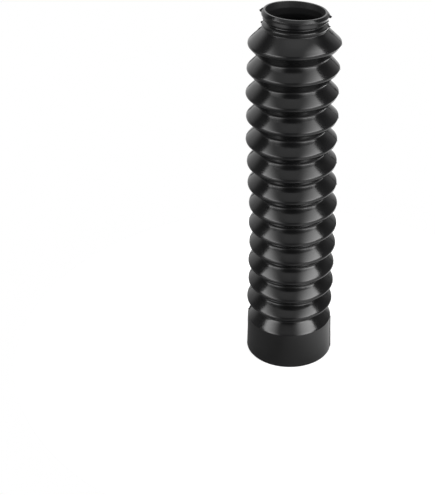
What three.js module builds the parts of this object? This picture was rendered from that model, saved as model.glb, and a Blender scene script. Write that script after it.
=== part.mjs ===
// A motorbike fork gaiter: one thin-walled moulding of black rubber that stands on its cuff.
// It is one revolve about +Z. From the bottom up it has a plain cuff that goes over the fork's slider,
// thirteen round folds that let it close up, and a lipped neck that grips the fork's tube.
// Lengths are in millimetres, and the origin is at the middle of the cuff's end.
//
// The section is a belt laid round a chain of rollers, one roller to each rounded corner.
// The belt passes outside a ridge and inside a valley, and runs straight from one roller to the next.
// Round the folds the inner skin is the same belt moved in by the wall, so the wall is even there.

import * as THREE from 'three';
import { mergeVertices } from 'three/addons/utils/BufferGeometryUtils.js';

// Cuff: it widens a little towards its open end
const cuffHeight = 27.2;
const cuffEndRadius = 30.6;
const cuffShoulderRadius = 29.8;
const cuffWall = 2.2;
const cuffEndRounding = 0.6;
const shoulderRounding = 0.6;

// Folds: they settle under their own weight, so the lowest ones lie closest together
const foldCount = 13;
const foldRadius = 30.1;
const valleyRadius = 23.1;
const bottomFoldPitch = 14.9;
const topFoldPitch = 17.2;
const crestRounding = 1.8;
const valleyRounding = 1.5;
const wall = 1.8;

// Neck: a round bead, a groove for the clamp band and a flared lip, all over one gripping bore.
// Heights of these are taken from the neck's foot, where the top fold ends.
const topFlankHeight = 9.8;
const neckHeight = 11.3;
const neckFootRadius = 21;
const neckFootRounding = 0.4;
const beadRadius = 21.4;
const beadHeight = 2.3;
const beadRounding = 1;
const grooveRadius = 19.25;
const grooveHeight = 4.3;
const grooveRounding = 0.4;
const lipRadius = 21.7;
const lipUnderHeight = 8.6;
const lipTopHeight = 9.5;
const lipRounding = 0.4;
const rimRadius = 20.2;
const rimRounding = 0.4;
const mouthRadius = 19;
const mouthRounding = 0.3;
const gripRadius = 17.6;
const gripTopHeight = 7.4;
const gripLength = 3.8;
const gripRounding = 0.8;
const neckInnerFootRadius = 18.8;

// Facets
const segmentsRound = 32;
const crestFacets = 3;
const valleyFacets = 2;
const innerValleyFacets = 2;
const beadFacets = 3;
const cuffEndFacets = 2;
const cornerFacets = 1;

// A roller stands at radius r and height z. Its size is positive on a ridge, where the material fills it,
// and negative in a valley, where the open air does.
const roller = (r, z, size, facets) => ({ r, z, size, facets });

// A ridge or valley of a given outermost or innermost radius
const ridge = (radius, z, rounding, facets) => roller(radius - rounding, z, rounding, facets);
const valley = (radius, z, rounding, facets) => roller(radius + rounding, z, -rounding, facets);

// Heights of the fold crests, lowest first. The pitch grows evenly from the bottom pair to the top pair.
function crestHeights() {
  const growth = (topFoldPitch - bottomFoldPitch) / (foldCount - 2);
  const heights = [cuffHeight + bottomFoldPitch];
  for (let gap = 0; gap < foldCount - 1; gap += 1) {
    heights.push(heights[gap] + bottomFoldPitch + growth * gap);
  }
  return heights;
}

const crests = crestHeights();
const neckFootZ = crests[foldCount - 1] + topFlankHeight;
const mouthZ = neckFootZ + neckHeight;

// The folds and the valleys between them, from the valley on top of the cuff to the last crest
function foldRollers() {
  const rollers = [];
  let below = cuffHeight;
  for (const crest of crests) {
    rollers.push(valley(valleyRadius, (below + crest) / 2, valleyRounding, valleyFacets));
    rollers.push(ridge(foldRadius, crest, crestRounding, crestFacets));
    below = crest;
  }
  return rollers;
}

// The inner skin of a fold roller: a valley's roller grows by the wall, and a ridge's shrinks by it
function innerRoller({ r, z, size }) {
  if (size < 0) {
    return roller(r, z, wall - size, innerValleyFacets);
  }
  return roller(r, z, -Math.max(size - wall, 0), cornerFacets);
}

function cuffOutside() {
  return [
    ridge(cuffEndRadius, cuffEndRounding, cuffEndRounding, cuffEndFacets),
    ridge(cuffShoulderRadius, cuffHeight - shoulderRounding, shoulderRounding, cornerFacets),
  ];
}

function cuffInside() {
  const endBore = cuffEndRadius - cuffWall;
  const shoulderBore = cuffShoulderRadius - cuffWall;
  return [
    roller(shoulderBore, cuffHeight - cuffWall, 0, 0),
    roller(endBore + cuffEndRounding, cuffEndRounding, cuffEndRounding, cornerFacets),
  ];
}

function neckOutside() {
  const at = (height) => neckFootZ + height;
  return [
    valley(neckFootRadius, at(0), neckFootRounding, cornerFacets),
    ridge(beadRadius, at(beadHeight), beadRounding, beadFacets),
    valley(grooveRadius, at(grooveHeight), grooveRounding, cornerFacets),
    ridge(lipRadius, at(lipUnderHeight), lipRounding, cornerFacets),
    ridge(lipRadius, at(lipTopHeight), lipRounding, cornerFacets),
    ridge(rimRadius, mouthZ - rimRounding, rimRounding, cornerFacets),
  ];
}

function neckInside() {
  const at = (height) => neckFootZ + height;
  return [
    roller(mouthRadius + mouthRounding, mouthZ - mouthRounding, mouthRounding, cornerFacets),
    roller(gripRadius + gripRounding, at(gripTopHeight), gripRounding, cornerFacets),
    roller(gripRadius + gripRounding, at(gripTopHeight - gripLength), gripRounding, cornerFacets),
    roller(neckInnerFootRadius + gripRounding, at(0), gripRounding, cornerFacets),
  ];
}

// The direction in which the belt faces between two rollers, as an angle in the section plane.
// The belt keeps the material on its left, so it faces right of its way of travel.
function beltFacing(from, to) {
  const along = Math.atan2(to.z - from.z, to.r - from.r);
  const span = Math.hypot(to.r - from.r, to.z - from.z);
  return along - Math.acos((from.size - to.size) / span);
}

// The points where the belt lies on one roller, from the facing it comes with to the one it leaves with
function pointsOnRoller({ r, z, size, facets }, arriving, leaving) {
  if (size === 0) {
    return [new THREE.Vector2(r, z)];
  }
  const fullTurn = 2 * Math.PI;
  const turn = THREE.MathUtils.euclideanModulo(leaving - arriving + Math.PI, fullTurn) - Math.PI;
  const points = [];
  for (let step = 0; step <= facets; step += 1) {
    const facing = arriving + (turn * step) / facets;
    points.push(new THREE.Vector2(r + size * Math.cos(facing), z + size * Math.sin(facing)));
  }
  return points;
}

// The belt round a closed chain of rollers, as one closed outline
function beltRound(rollers) {
  const next = (index) => rollers[(index + 1) % rollers.length];
  const facings = rollers.map((from, index) => beltFacing(from, next(index)));
  const outline = rollers.flatMap((each, index) => {
    const arriving = facings[(index + rollers.length - 1) % rollers.length];
    return pointsOnRoller(each, arriving, facings[index]);
  });
  return [...outline, outline[0].clone()];
}

// The whole section: up the outside from the cuff's end to the mouth, then down the inside
function section() {
  const folds = foldRollers();
  return beltRound([
    ...cuffOutside(),
    ...folds,
    ...neckOutside(),
    ...neckInside(),
    ...folds.map(innerRoller).reverse(),
    ...cuffInside(),
  ]);
}

// The revolve, turned from three.js's Y axis to the part's Z axis
function gaiterGeometry() {
  const geometry = new THREE.LatheGeometry(section(), segmentsRound);
  geometry.rotateX(Math.PI / 2);
  geometry.deleteAttribute('normal');
  geometry.deleteAttribute('uv');
  const closed = mergeVertices(geometry);
  closed.computeVertexNormals();
  return closed;
}

const blackRubber = new THREE.MeshStandardMaterial({ color: 0x1b1b1c, roughness: 0.45, metalness: 0 });

const gaiter = new THREE.Mesh(gaiterGeometry(), blackRubber);
gaiter.name = 'gaiter';

const part = new THREE.Group();
part.name = 'fork_gaiter';
part.add(gaiter);

export default part;
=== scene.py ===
# The look of a black rubber fork gaiter that stands on its cuff, in metres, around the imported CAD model.
import math

import bpy
import numpy as np
from mathutils import Matrix, Vector


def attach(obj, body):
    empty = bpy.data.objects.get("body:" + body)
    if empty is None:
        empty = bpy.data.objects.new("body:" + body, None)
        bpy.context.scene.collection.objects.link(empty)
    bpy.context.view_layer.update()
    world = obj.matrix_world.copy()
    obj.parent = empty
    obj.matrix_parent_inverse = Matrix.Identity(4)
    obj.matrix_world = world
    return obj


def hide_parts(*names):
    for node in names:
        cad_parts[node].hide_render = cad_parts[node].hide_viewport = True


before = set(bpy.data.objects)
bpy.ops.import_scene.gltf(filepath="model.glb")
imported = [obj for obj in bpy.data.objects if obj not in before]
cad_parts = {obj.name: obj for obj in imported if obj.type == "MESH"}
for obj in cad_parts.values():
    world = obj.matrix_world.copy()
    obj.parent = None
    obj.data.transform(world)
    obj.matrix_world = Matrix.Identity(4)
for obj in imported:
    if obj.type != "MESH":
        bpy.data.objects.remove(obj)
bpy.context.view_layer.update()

MM = 0.001
FULL_TURN = 2 * math.pi

# Section, in millimetres: the CAD model's rollers with finer roundings, and a collar and an undercut
# under the lip. Heights on the neck are taken from its foot.
CUFF_HEIGHT = 27.2
CUFF_END_RADIUS = 30.6
CUFF_SHOULDER_RADIUS = 29.8
CUFF_WALL = 2.2
CUFF_END_ROUNDING = 0.6
SHOULDER_ROUNDING = 0.6
FOLD_COUNT = 13
FOLD_RADIUS = 30.1
VALLEY_RADIUS = 23.1
BOTTOM_FOLD_PITCH = 14.9
TOP_FOLD_PITCH = 17.2
CREST_ROUNDING = 1.8
VALLEY_ROUNDING = 1.15
WALL = 1.8
FLANK_BULGE = 0.13
TOP_FLANK_HEIGHT = 9.8
NECK_HEIGHT = 11.3
NECK_FOOT_RADIUS = 21.0
NECK_FOOT_ROUNDING = 0.4
BEAD_RADIUS = 21.4
BEAD_HEIGHT = 1.9
BEAD_ROUNDING = 1.1
GROOVE_RADIUS = 19.25
GROOVE_HEIGHT = 4.3
GROOVE_ROUNDING = 0.5
COLLAR_RADIUS = 20.8
COLLAR_HEIGHT = 6.0
COLLAR_ROUNDING = 0.3
UNDERCUT_RADIUS = 20.45
UNDERCUT_HEIGHT = 8.0
UNDERCUT_ROUNDING = 0.15
LIP_RADIUS = 21.7
LIP_UNDER_HEIGHT = 8.6
LIP_TOP_HEIGHT = 9.5
LIP_ROUNDING = 0.4
RIM_RADIUS = 20.5
RIM_ROUNDING = 0.4
MOUTH_RADIUS = 19.0
MOUTH_ROUNDING = 0.3
GRIP_RADIUS = 17.6
GRIP_TOP_HEIGHT = 7.4
GRIP_LENGTH = 3.8
GRIP_ROUNDING = 0.8
NECK_INNER_FOOT_RADIUS = 18.8

# Mesh: steps on each kind of rounding, pieces that a flank or another long straight is split into,
# the length from which a straight is long, and columns round
CREST_STEPS = 8
VALLEY_STEPS = 6
SMALL_STEPS = 4
INNER_STEPS = 4
FLANK_SPLITS = 6
LONG_STRAIGHT = 0.8
COLUMNS = 176


def crest_heights():
    """Heights of the fold crests, lowest first."""
    growth = (TOP_FOLD_PITCH - BOTTOM_FOLD_PITCH) / (FOLD_COUNT - 2)
    heights = [CUFF_HEIGHT + BOTTOM_FOLD_PITCH]
    for gap in range(FOLD_COUNT - 1):
        heights.append(heights[-1] + BOTTOM_FOLD_PITCH + growth * gap)
    return heights


CRESTS = crest_heights()
NECK_FOOT_Z = CRESTS[-1] + TOP_FLANK_HEIGHT
MOUTH_Z = NECK_FOOT_Z + NECK_HEIGHT


def ridge(radius, z, rounding, steps):
    """A roller with the material inside it, as its radius, height, size and steps."""
    return (radius - rounding, z, rounding, steps)


def valley(radius, z, rounding, steps):
    """A roller with the open air inside it, which its negative size says."""
    return (radius + rounding, z, -rounding, steps)


def outer_rollers():
    """Rollers up the outside, from the cuff's end to the rim."""
    rollers = [
        ridge(CUFF_END_RADIUS, CUFF_END_ROUNDING, CUFF_END_ROUNDING, SMALL_STEPS),
        ridge(CUFF_SHOULDER_RADIUS, CUFF_HEIGHT - SHOULDER_ROUNDING, SHOULDER_ROUNDING, SMALL_STEPS),
    ]
    below = CUFF_HEIGHT
    for crest in CRESTS:
        rollers.append(valley(VALLEY_RADIUS, (below + crest) / 2, VALLEY_ROUNDING, VALLEY_STEPS))
        rollers.append(ridge(FOLD_RADIUS, crest, CREST_ROUNDING, CREST_STEPS))
        below = crest
    foot = NECK_FOOT_Z
    rollers += [
        valley(NECK_FOOT_RADIUS, foot, NECK_FOOT_ROUNDING, SMALL_STEPS),
        ridge(BEAD_RADIUS, foot + BEAD_HEIGHT, BEAD_ROUNDING, CREST_STEPS),
        valley(GROOVE_RADIUS, foot + GROOVE_HEIGHT, GROOVE_ROUNDING, SMALL_STEPS),
        ridge(COLLAR_RADIUS, foot + COLLAR_HEIGHT, COLLAR_ROUNDING, SMALL_STEPS),
        valley(UNDERCUT_RADIUS, foot + UNDERCUT_HEIGHT, UNDERCUT_ROUNDING, SMALL_STEPS),
        ridge(LIP_RADIUS, foot + LIP_UNDER_HEIGHT, LIP_ROUNDING, SMALL_STEPS),
        ridge(LIP_RADIUS, foot + LIP_TOP_HEIGHT, LIP_ROUNDING, SMALL_STEPS),
        ridge(RIM_RADIUS, MOUTH_Z - RIM_ROUNDING, RIM_ROUNDING, SMALL_STEPS),
    ]
    return rollers


def inner_rollers():
    """Rollers down the inside, from the mouth to the cuff's end."""
    foot = NECK_FOOT_Z
    grip = GRIP_RADIUS + GRIP_ROUNDING
    rollers = [
        (MOUTH_RADIUS + MOUTH_ROUNDING, MOUTH_Z - MOUTH_ROUNDING, MOUTH_ROUNDING, SMALL_STEPS),
        (grip, foot + GRIP_TOP_HEIGHT, GRIP_ROUNDING, SMALL_STEPS),
        (grip, foot + GRIP_TOP_HEIGHT - GRIP_LENGTH, GRIP_ROUNDING, SMALL_STEPS),
        (NECK_INNER_FOOT_RADIUS + GRIP_ROUNDING, foot, GRIP_ROUNDING, SMALL_STEPS),
    ]
    below = CUFF_HEIGHT
    folds = []
    for crest in CRESTS:
        middle = (below + crest) / 2
        folds.append((VALLEY_RADIUS + VALLEY_ROUNDING, middle, VALLEY_ROUNDING + WALL, INNER_STEPS))
        folds.append((FOLD_RADIUS - CREST_ROUNDING, crest, 0.0, 0))
        below = crest
    rollers += folds[::-1]
    end_bore = CUFF_END_RADIUS - CUFF_WALL
    rollers += [
        (CUFF_SHOULDER_RADIUS - CUFF_WALL, CUFF_HEIGHT - CUFF_WALL, 0.0, 0),
        (end_bore + CUFF_END_ROUNDING, CUFF_END_ROUNDING, CUFF_END_ROUNDING, SMALL_STEPS),
    ]
    return rollers


def belt_facing(a, b):
    """The angle in which the belt faces between two rollers, material on its left."""
    along = math.atan2(b[1] - a[1], b[0] - a[0])
    span = math.hypot(b[0] - a[0], b[1] - a[1])
    return along - math.acos((a[2] - b[2]) / span)


def belt(rollers):
    """The closed belt round a chain of rollers, as one arc of (r, z) points for each roller."""
    count = len(rollers)
    facings = [belt_facing(rollers[i], rollers[(i + 1) % count]) for i in range(count)]
    arcs = []
    for i, (r, z, size, steps) in enumerate(rollers):
        if size == 0:
            arc = [(r, z)]
        else:
            turn = (facings[i] - facings[i - 1] + math.pi) % FULL_TURN - math.pi
            arc = []
            for step in range(steps + 1):
                facing = facings[i - 1] + turn * step / steps
                arc.append((r + size * math.cos(facing), z + size * math.sin(facing)))
        arcs.append(arc)
    return arcs


def bow(t):
    """A hump of 0 to 1 to 0 while t runs from 0 to 1."""
    return 4 * t * (1 - t)


def straight(start, end, bulge):
    """Points inside a straight stretch, raised off its chord by up to bulge."""
    run, rise = end[0] - start[0], end[1] - start[1]
    length = math.hypot(run, rise)
    points = []
    for k in range(1, FLANK_SPLITS):
        t = k / FLANK_SPLITS
        proud = bulge * bow(t)
        r = start[0] + run * t + proud * rise / length
        z = start[1] + rise * t - proud * run / length
        points.append((r, z))
    return points


def section():
    """The section's points, how many of them lie outside, and a hump of 0 to 1 along the top flank.
    The folds' flanks bulge a little."""
    outer = outer_rollers()
    arcs = belt(outer + inner_rollers())
    # The cuff's two rollers come first, so the first flank starts on the third roller
    first_flank = 2
    last_flank = first_flank + 2 * FOLD_COUNT - 1
    points = []
    hump = []
    outer_count = 0
    for i, arc in enumerate(arcs):
        start = arc[-1]
        end = arcs[(i + 1) % len(arcs)][0]
        stretch = []
        if first_flank <= i <= last_flank:
            stretch = straight(start, end, FLANK_BULGE)
        elif i < len(outer) and math.dist(start, end) > LONG_STRAIGHT:
            stretch = straight(start, end, 0)
        points += arc + stretch
        hump += [0.0] * len(arc)
        if i == last_flank:
            hump += [bow(k / FLANK_SPLITS) for k in range(1, FLANK_SPLITS)]
        else:
            hump += [0.0] * len(stretch)
        if i == len(outer) - 1:
            outer_count = len(points)
    return np.array(points), outer_count, np.array(hump)


# How each fold stands off a true revolve, lowest fold first: millimetres to the right, degrees of lean
# to the right and to the back, then millimetres of spread
FOLD_SHIFTS = [-0.2, 0.55, 0.6, 1.2, 1.15, 1.3, 0.4, -0.1, -0.8, -0.35, -0.85, -0.3, 0.3]
FOLD_LEANS_RIGHT = [0.6, 0.8, 0.25, -0.4, -0.3, -0.7, -1.1, -1.0, 0.1, -0.5, -0.55, -0.4, -0.4]
FOLD_LEANS_BACK = [-2.2, -2.45, -2.45, -2.05, -1.55, -1.35, -1.15, -0.8, -0.25, 0.4, 0.9, 1.15, 1.25]
FOLD_SPREADS = [0.2, 0.0, 0.0, 0.0, 0.3, 0.2, 0.25, 0.2, 0.45, 0.35, 0.25, 0.0, 0.0]
MOUTH_SHIFT = 0.45
MOUTH_LEAN_RIGHT = 3.15
MOUTH_LEAN_BACK = 2.2
# How much of the change from the top fold to the mouth the neck's foot has already made
FOOT_SHARE = 0.85
FOOT_SHARE_RIGHT = 0.25

# Waves round each crest: how far from the crest they reach, their counts, how far a single wave goes
# outwards and upwards, and the shares of that which chance picks from
WAVE_REACH = 8.0
WAVE_COUNTS = (1, 2, 3, 5)
WAVE_OUT = 0.12
WAVE_UP = 0.22
WAVE_SHARES = (0.3, 1.0)
SEED = 11

# Flash along the mould's parting line: a left and a right fin, each as angle and reach. No other column
# of the mesh is nearer than the clearance. A share of the reach is ragged. On the crests a fin is worn
# to its least share, and it grows to the full reach over a stretch that starts a little off them.
FINS = [(math.radians(173), 0.6), (math.radians(-7), 0.75)]
FIN_HALF_WIDTH = 0.15
FIN_CLEARANCE = 2.5 * FIN_HALF_WIDTH
RAGGED_SHARE = 0.38
RAGGED_KNOTS = 260
WORN_FROM = 0.8
WORN_OVER = 2.5
WORN_LEAST = 0.3
# Torn tags on each fin: start and end above the neck's foot, then reach
TAGS = [(7.9, 11.2, 0.85), (1.5, 3.3, 0.45), (-2.6, -0.8, 0.45)]

# The top flank is pushed out at its right front: reach, angle seen from above, and sharpness
PUSH_REACH = 0.4
PUSH_ANGLE = math.radians(-64)
PUSH_SHARPNESS = 3


def column_angles():
    """Angles of the mesh's columns, even but for a narrow trio at each fin, and the fins' columns."""
    angles = np.arange(COLUMNS) * FULL_TURN / COLUMNS
    half = FIN_HALF_WIDTH / FOLD_RADIUS
    middles = [angle % FULL_TURN for angle, reach in FINS]
    for middle in middles:
        gap = np.abs((angles - middle + math.pi) % FULL_TURN - math.pi)
        trio = [middle - half, middle, middle + half]
        angles = np.append(angles[gap > FIN_CLEARANCE / FOLD_RADIUS], trio)
    angles = np.sort(angles % FULL_TURN)
    return angles, [np.argmin(np.abs(angles - middle)) for middle in middles]


def ease(t):
    """From 0 to 1 with a level start and end."""
    return t * t * (3 - 2 * t)


def smooth_noise(random, count, knots):
    """A smooth seeded curve of count values between about -1 and 1."""
    values = random.uniform(-1, 1, knots)
    place = np.linspace(0, knots - 1.001, count)
    low = place.astype(int)
    t = ease(place - low)
    return values[low] * (1 - t) + values[np.minimum(low + 1, knots - 1)] * t


def stand_off(folds, mouth, foot_share):
    """Values for the cuff, each fold, the neck's foot and the mouth."""
    return [0, 0] + folds + [folds[-1] + (mouth - folds[-1]) * foot_share, mouth]


def uneven_folds(r, z, angles, random):
    """Each crest is spread, and a little out of round and out of level, as soft mouldings are."""
    for crest, spread in zip(CRESTS, FOLD_SPREADS):
        nearness = ease(np.clip(1 - np.abs(z - crest) / WAVE_REACH, 0, 1))
        out = np.full(len(angles), spread)
        up = np.zeros(len(angles))
        for count in WAVE_COUNTS:
            out_phase, up_phase = random.uniform(0, FULL_TURN, 2)
            out += random.uniform(*WAVE_SHARES) * WAVE_OUT / count * np.cos(count * angles + out_phase)
            up += random.uniform(*WAVE_SHARES) * WAVE_UP / count * np.cos(count * angles + up_phase)
        r = r + nearness * out
        z = z + nearness * up
    return r, z


def pushed_flank(r, z, angles, hump):
    """The top flank is pushed out at right angles to itself."""
    push = PUSH_REACH * np.clip(np.cos(angles - PUSH_ANGLE), 0, 1) ** PUSH_SHARPNESS
    push = hump[:, None] * push
    run = FOLD_RADIUS - NECK_FOOT_RADIUS
    length = math.hypot(run, TOP_FLANK_HEIGHT)
    return r + push * TOP_FLANK_HEIGHT / length, z + push * run / length


def fin_heights(z, reach, random):
    """How far a fin stands out at each section height, with its torn tags."""
    off_crest = np.min(np.abs(z[:, None] - np.array(CRESTS)), axis=1)
    worn = np.clip((off_crest - WORN_FROM) / WORN_OVER, WORN_LEAST, 1)
    ragged = 1 - RAGGED_SHARE + RAGGED_SHARE * smooth_noise(random, len(z), RAGGED_KNOTS)
    out = worn * reach * ragged
    for start, end, tag_reach in TAGS:
        along = np.clip((z - NECK_FOOT_Z - start) / (end - start), 0, 1)
        out += tag_reach * np.sin(math.pi * along)
    return out


def leaned(r, z, angles):
    """Places in millimetres, each height shifted and leaned as the folds next to it are."""
    heights = [0, CUFF_HEIGHT] + CRESTS + [NECK_FOOT_Z, MOUTH_Z]
    shifts = stand_off(FOLD_SHIFTS, MOUTH_SHIFT, FOOT_SHARE)
    leans_right = stand_off(FOLD_LEANS_RIGHT, MOUTH_LEAN_RIGHT, FOOT_SHARE_RIGHT)
    leans_back = stand_off(FOLD_LEANS_BACK, MOUTH_LEAN_BACK, FOOT_SHARE)
    shift = np.interp(z, heights, shifts)
    right = np.radians(np.interp(z, heights, leans_right))
    back = np.radians(np.interp(z, heights, leans_back))
    x = r * np.cos(angles)
    y = r * np.sin(angles)
    height = z - x * np.sin(right) - y * np.sin(back)
    return np.stack([x * np.cos(right) + shift, y * np.cos(back), height], axis=2)


def grid_quads(rings, columns):
    """Faces of a grid of vertices that closes on itself both ways."""
    ring = np.arange(rings)[:, None]
    column = np.arange(columns)
    next_ring = (ring + 1) % rings
    next_column = (column + 1) % columns
    return np.stack([
        ring * columns + column,
        ring * columns + next_column,
        next_ring * columns + next_column,
        next_ring * columns + column,
    ], axis=2).reshape(-1, 4)


def sharpen_fins(mesh, fins, columns, outer_vertices):
    """A fin's feet are sharp, so that its own shading does not spread over the rubber beside it."""
    is_foot = np.zeros(columns, bool)
    for fin in fins:
        is_foot[[(fin - 1) % columns, (fin + 1) % columns]] = True
    ends = np.zeros(2 * len(mesh.edges), np.int32)
    mesh.edges.foreach_get("vertices", ends)
    starts = ends[::2]
    runs_along = starts % columns == ends[1::2] % columns
    is_sharp = runs_along & is_foot[starts % columns] & (starts < outer_vertices)
    mesh.edges.foreach_set("use_edge_sharp", is_sharp)


def gaiter_mesh():
    """The whole moulding as one closed grid: rings along the section, and columns round."""
    points, outer_count, hump = section()
    angles, fins = column_angles()
    rings = len(points)
    columns = len(angles)
    random = np.random.RandomState(SEED)

    r = np.repeat(points[:, :1], columns, axis=1)
    z = np.repeat(points[:, 1:], columns, axis=1)
    r, z = uneven_folds(r, z, angles, random)
    r, z = pushed_flank(r, z, angles, hump)
    for fin, (angle, reach) in zip(fins, FINS):
        r[:outer_count, fin] += fin_heights(points[:, 1], reach, random)[:outer_count]
    places = leaned(r, z, angles) * MM

    mesh = bpy.data.meshes.new("gaiter_rubber")
    mesh.from_pydata(places.reshape(-1, 3).tolist(), [], grid_quads(rings, columns).tolist())
    # The inside, past the mouth's rounding, has the second material
    is_inside = np.arange(rings) >= outer_count + SMALL_STEPS
    mesh.polygons.foreach_set("material_index", np.repeat(is_inside, columns).astype(np.int32))
    mesh.shade_smooth()
    sharpen_fins(mesh, fins, columns, outer_count * columns)
    mesh.update()
    return mesh


def noise(nodes, links, place, scale, detail):
    """Noise laid out in the piece's own coordinates."""
    node = nodes.new("ShaderNodeTexNoise")
    node.inputs["Scale"].default_value = scale
    node.inputs["Detail"].default_value = detail
    links.new(place.outputs["Object"], node.inputs["Vector"])
    return node.outputs["Fac"]


def rubber_material(name, smoothest, roughest, specular):
    """Black rubber with cloudy tone, uneven gloss and a fine grain."""
    material = bpy.data.materials.new(name)
    material.use_nodes = True
    nodes = material.node_tree.nodes
    links = material.node_tree.links
    shader = nodes["Principled BSDF"]
    shader.inputs["Specular IOR Level"].default_value = specular
    shader.inputs["IOR"].default_value = 1.5
    place = nodes.new("ShaderNodeTexCoord")

    tone = noise(nodes, links, place, scale=60, detail=5)
    colours = nodes.new("ShaderNodeValToRGB")
    colours.color_ramp.elements[0].position = 0.3
    colours.color_ramp.elements[0].color = (0.005, 0.005, 0.0052, 1)
    colours.color_ramp.elements[1].position = 0.75
    colours.color_ramp.elements[1].color = (0.008, 0.008, 0.0083, 1)
    links.new(tone, colours.inputs["Fac"])
    links.new(colours.outputs["Color"], shader.inputs["Base Color"])

    gloss = noise(nodes, links, place, scale=220, detail=4)
    spread = nodes.new("ShaderNodeMapRange")
    spread.inputs["From Min"].default_value = 0.3
    spread.inputs["From Max"].default_value = 0.7
    spread.inputs["To Min"].default_value = smoothest
    spread.inputs["To Max"].default_value = roughest
    links.new(gloss, spread.inputs["Value"])
    links.new(spread.outputs["Result"], shader.inputs["Roughness"])

    grain = noise(nodes, links, place, scale=1400, detail=3)
    bump = nodes.new("ShaderNodeBump")
    bump.inputs["Strength"].default_value = 0.25
    bump.inputs["Distance"].default_value = 0.00004
    links.new(grain, bump.inputs["Height"])
    links.new(bump.outputs["Normal"], shader.inputs["Normal"])
    return material


def make_gaiter():
    piece = bpy.data.objects.new("rubber_gaiter", gaiter_mesh())
    bpy.context.scene.collection.objects.link(piece)
    outside = rubber_material("black_rubber", smoothest=0.14, roughest=0.19, specular=0.5)
    inside = rubber_material("dull_black_rubber", smoothest=0.56, roughest=0.64, specular=0.25)
    piece.data.materials.append(outside)
    piece.data.materials.append(inside)
    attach(piece, "root")
    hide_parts("gaiter")


# Floor: a round table top of white paper. Its tone is what the lamps light, and its lift is added for
# the camera alone. In the rubber's reflections it carries painted shade towards the left and a painted
# glow towards the right. What lies past it is the studio.
FLOOR_RADIUS = 0.2
FLOOR_CORNERS = 96
FLOOR_TONE = 0.65
FLOOR_LIFT = 0.62

# Layers of the studio round the gaiter. Each has levels by azimuth, in degrees with 0 behind the camera
# and 90 on its right, and then the share of them that shows at each elevation.
WALLS = (
    [(-180, 0.95), (-140, 0.85), (-122, 0.55), (-112, 0.15), (-86, 0.15), (-70, 1.1), (-48, 1.5),
     (-34, 1.25), (-16, 0.1), (10, 0.1), (28, 1.15), (46, 1.6), (72, 1.3), (86, 0.15), (125, 0.15),
     (145, 0.4), (180, 0.95)],
    [(-90, 0.0), (-24, 0.0), (-12, 1.0), (20, 1.0), (34, 0.0), (90, 0.0)],
)
GROUND = (
    [(-180, 0.4), (-140, 0.35), (-100, 0.2), (-20, 0.2), (10, 0.35), (38, 0.85), (90, 1.0), (120, 1.0),
     (180, 0.5)],
    [(-90, 0.5), (-55, 0.9), (-24, 1.0), (-12, 0.0), (90, 0.0)],
)
BACKDROP = (
    [(-180, 1.4), (-150, 1.2), (-128, 0.3), (-115, 0.0), (128, 0.0), (150, 0.7), (180, 1.4)],
    [(-90, 0.0), (16, 0.0), (30, 0.8), (48, 1.0), (60, 0.8), (72, 0.0), (90, 0.0)],
)
FAR_GROUND = (
    [(-180, 0.3), (-140, 0.3), (-120, 0.0), (92, 0.0), (104, 1.4), (112, 1.8), (140, 4.0), (165, 2.0),
     (180, 0.3)],
    [(-90, 0.0), (-33, 0.0), (-28, 1.0), (-22, 1.0), (-16, 0.0), (90, 0.0)],
)
# The studio's own fill, by elevation
FILL_LEVELS = [
    (-90, 0.02), (0, 0.05), (40, 0.08), (46, 0.12), (56, 0.55), (64, 0.62), (70, 0.8), (90, 0.9),
]

# Painted shade and painted glow on the paper, seen only in the rubber's reflections: its tone there is
# darker towards the left, and it glows towards the right though it is no lamp. Both are set by place
# across the table in metres, and by how far out to each side their ramps go
MIRRORED_SHADE_TONES = [(-0.06, 0.36), (-0.02, 0.34), (0.02, 0.62), (0.06, 1.0)]
MIRRORED_PAINTED_GLOWS = [(-0.06, 0.0), (-0.02, 0.0), (0.02, 0.08), (0.06, 0.3)]
MIRRORED_END = 0.1

# Soft lamps: distance from the gaiter, and height of the place on it that they face
LAMP_DISTANCE = 1.5
LAMP_AIM_HEIGHT = 0.13

# Camera: the photograph's height and the focal length, both in its pixels, then place in metres and
# angles in radians
PHOTO_HEIGHT = 495
FOCAL_PIXELS = 1184.17
SENSOR = 36
CAMERA_PLACE = (0, -0.71387, 0.51391)
CAMERA_YAW = -0.07179
CAMERA_PITCH = 0.54417
CAMERA_ROLL = -0.01812


def level_ramp(nodes, links, stops, end, where):
    """A colour ramp whose grey levels go through stops. Its input of 0 to 1 stands for -end to end."""
    node = nodes.new("ShaderNodeValToRGB")
    elements = node.color_ramp.elements
    node.color_ramp.interpolation = "LINEAR"
    while len(elements) < len(stops):
        elements.new(0.5)
    for element, (place, level) in zip(elements, stops):
        element.position = (place + end) / (2 * end)
        element.color = (level, level, level, 1)
    links.new(where, node.inputs["Fac"])
    return node.outputs["Color"]


def maths(nodes, links, operation, first, second):
    """A maths node on two inputs, each a socket or a number."""
    node = nodes.new("ShaderNodeMath")
    node.operation = operation
    for socket, value in zip(node.inputs, (first, second)):
        if isinstance(value, (int, float)):
            socket.default_value = value
        else:
            links.new(value, socket)
    return node.outputs[0]


def fade(nodes, links, where, dark, full):
    """A smooth step of where from 0 at dark to 1 at full."""
    node = nodes.new("ShaderNodeMapRange")
    node.interpolation_type = "SMOOTHSTEP"
    node.inputs["From Min"].default_value = dark
    node.inputs["From Max"].default_value = full
    links.new(where, node.inputs["Value"])
    return node.outputs["Result"]


def seen_directly(nodes, links, path):
    """1 for what the camera sees, also through glass, and 0 for all other light."""
    rays = (path.outputs["Is Camera Ray"], path.outputs["Is Transmission Ray"])
    return maths(nodes, links, "MAXIMUM", *rays)


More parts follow.
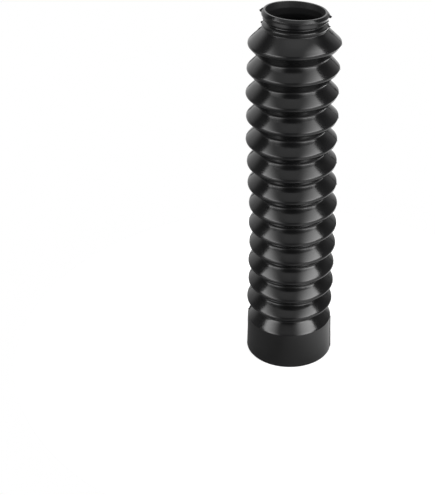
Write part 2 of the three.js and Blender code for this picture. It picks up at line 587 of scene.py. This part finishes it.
def floor_material():
    """Lamp-lit white paper, lifted to full white for the camera; reflections show painted shade and glow.
    """
    material = bpy.data.materials.new("white_paper")
    material.use_nodes = True
    nodes = material.node_tree.nodes
    links = material.node_tree.links
    shader = nodes["Principled BSDF"]
    shader.inputs["Roughness"].default_value = 0.9
    shader.inputs["Specular IOR Level"].default_value = 0.0
    shader.inputs["Emission Color"].default_value = (1, 1, 1, 1)
    place = nodes.new("ShaderNodeTexCoord")
    split = nodes.new("ShaderNodeSeparateXYZ")
    links.new(place.outputs["Object"], split.inputs["Vector"])
    across = nodes.new("ShaderNodeMapRange")
    across.inputs["From Min"].default_value = -MIRRORED_END
    across.inputs["From Max"].default_value = MIRRORED_END
    links.new(split.outputs["X"], across.inputs["Value"])
    # Painted shade: in the rubber's reflections the paper is darker towards the left
    mirrored_shade = level_ramp(nodes, links, MIRRORED_SHADE_TONES, MIRRORED_END, across.outputs["Result"])
    # Painted glow: for glossy rays the paper glows towards the right, though it is no lamp
    glow = level_ramp(nodes, links, MIRRORED_PAINTED_GLOWS, MIRRORED_END, across.outputs["Result"])

    path = nodes.new("ShaderNodeLightPath")
    glossy = path.outputs["Is Glossy Ray"]
    lift = maths(nodes, links, "MULTIPLY", seen_directly(nodes, links, path), FLOOR_LIFT)
    # The painted glow is emitted for glossy rays only
    glint = maths(nodes, links, "MULTIPLY", glossy, glow)
    links.new(maths(nodes, links, "ADD", lift, glint), shader.inputs["Emission Strength"])

    # The painted shade scales the paper's tone for glossy rays only
    share = nodes.new("ShaderNodeMix")
    share.data_type = "FLOAT"
    share.inputs["A"].default_value = 1.0
    links.new(glossy, share.inputs["Factor"])
    links.new(mirrored_shade, share.inputs["B"])
    tone = maths(nodes, links, "MULTIPLY", share.outputs["Result"], FLOOR_TONE)
    links.new(tone, shader.inputs["Base Color"])
    return material


def make_floor():
    bpy.ops.mesh.primitive_circle_add(
        vertices=FLOOR_CORNERS, radius=FLOOR_RADIUS, fill_type="NGON", location=(0, 0, 0)
    )
    floor = bpy.context.object
    floor.name = "paper_floor"
    floor.data.materials.append(floor_material())


def make_world():
    """The studio as a light all round. The camera sees plain white in its place."""
    world = bpy.data.worlds.new("studio")
    bpy.context.scene.world = world
    world.use_nodes = True
    nodes = world.node_tree.nodes
    links = world.node_tree.links
    nodes.clear()
    place = nodes.new("ShaderNodeTexCoord")
    split = nodes.new("ShaderNodeSeparateXYZ")
    links.new(place.outputs["Generated"], split.inputs["Vector"])
    x, y, z = split.outputs

    towards_camera = maths(nodes, links, "MULTIPLY", y, -1.0)
    azimuth = maths(nodes, links, "ARCTAN2", x, towards_camera)
    turn = maths(nodes, links, "ADD", maths(nodes, links, "DIVIDE", azimuth, FULL_TURN), 0.5)
    elevation = maths(nodes, links, "ARCSINE", z, 0.0)
    rise = maths(nodes, links, "ADD", maths(nodes, links, "DIVIDE", elevation, math.pi), 0.5)

    level = level_ramp(nodes, links, FILL_LEVELS, end=90, where=rise)
    for levels, shares in (WALLS, GROUND, BACKDROP, FAR_GROUND):
        full = level_ramp(nodes, links, levels, end=180, where=turn)
        share = level_ramp(nodes, links, shares, end=90, where=rise)
        level = maths(nodes, links, "ADD", level, maths(nodes, links, "MULTIPLY", full, share))

    light = nodes.new("ShaderNodeBackground")
    light.inputs["Color"].default_value = (1, 1, 1, 1)
    links.new(level, light.inputs["Strength"])
    white = nodes.new("ShaderNodeBackground")
    white.inputs["Color"].default_value = (1, 1, 1, 1)
    path = nodes.new("ShaderNodeLightPath")
    mix = nodes.new("ShaderNodeMixShader")
    links.new(seen_directly(nodes, links, path), mix.inputs["Fac"])
    links.new(light.outputs[0], mix.inputs[1])
    links.new(white.outputs[0], mix.inputs[2])
    out = nodes.new("ShaderNodeOutputWorld")
    links.new(mix.outputs[0], out.inputs["Surface"])


def softbox(name, azimuth, elevation, roll, width, height, radiance, inner_end, soft_share, dark_top):
    """A soft lamp that faces the gaiter. Azimuth 0 is the camera's side and 90 its right.
    Its glow fades in from its inner end, 0 or 1 along its width, over a share of the width. It also
    fades out upwards, until it is dark at dark_top, a share of its height."""
    a, e = math.radians(azimuth), math.radians(elevation)
    away = Vector((math.sin(a) * math.cos(e), -math.cos(a) * math.cos(e), math.sin(e)))
    lamp = bpy.data.lights.new(name, "AREA")
    lamp.shape = "RECTANGLE"
    lamp.size = width
    lamp.size_y = height
    lamp.energy = radiance * width * height * math.pi
    lamp.use_nodes = True
    nodes = lamp.node_tree.nodes
    links = lamp.node_tree.links
    place = nodes.new("ShaderNodeNewGeometry")
    split = nodes.new("ShaderNodeSeparateXYZ")
    links.new(place.outputs["Parametric"], split.inputs["Vector"])
    outwards = 1 - 2 * inner_end
    across = fade(nodes, links, split.outputs["X"], inner_end, inner_end + outwards * soft_share)
    upward = fade(nodes, links, split.outputs["Y"], dark_top, 0.0)
    links.new(maths(nodes, links, "MULTIPLY", across, upward), nodes["Emission"].inputs["Strength"])
    holder = bpy.data.objects.new(name, lamp)
    bpy.context.scene.collection.objects.link(holder)
    holder.location = away * LAMP_DISTANCE + Vector((0, 0, LAMP_AIM_HEIGHT))
    turn = Matrix.Rotation(math.radians(roll), 3, away) @ away.to_track_quat("Z", "Y").to_matrix()
    holder.rotation_euler = turn.to_euler()


def make_lamps():
    softbox(
        "left_softbox", azimuth=-51, elevation=43, roll=-20, width=1.42, height=0.80,
        radiance=6.5, inner_end=1, soft_share=0.42, dark_top=0.9,
    )
    softbox(
        "right_softbox", azimuth=50, elevation=46, roll=18, width=1.48, height=0.96,
        radiance=8.0, inner_end=0, soft_share=0.46, dark_top=1.0,
    )


def make_camera():
    """The photograph's own viewpoint, fitted to the folds, the mouth and the cuff."""
    yaw, pitch, roll = CAMERA_YAW, CAMERA_PITCH, CAMERA_ROLL
    flat = math.cos(pitch)
    forward = Vector((math.sin(yaw) * flat, math.cos(yaw) * flat, -math.sin(pitch)))
    level = Vector((math.cos(yaw), -math.sin(yaw), 0))
    above = level.cross(forward)
    right = math.cos(roll) * level + math.sin(roll) * above
    up = -math.sin(roll) * level + math.cos(roll) * above
    camera = bpy.data.cameras.new("photo_camera")
    camera.sensor_fit = "AUTO"
    camera.sensor_width = SENSOR
    camera.lens = FOCAL_PIXELS * SENSOR / PHOTO_HEIGHT
    camera.clip_start = 0.05
    camera.clip_end = 20
    holder = bpy.data.objects.new("photo_camera", camera)
    bpy.context.scene.collection.objects.link(holder)
    turn = Matrix((right, up, -forward)).transposed().to_4x4()
    holder.matrix_world = Matrix.Translation(Vector(CAMERA_PLACE)) @ turn
    bpy.context.scene.camera = holder


make_camera()
make_gaiter()
make_floor()
make_world()
make_lamps()

scene = bpy.context.scene
scene.view_settings.view_transform = "Standard"
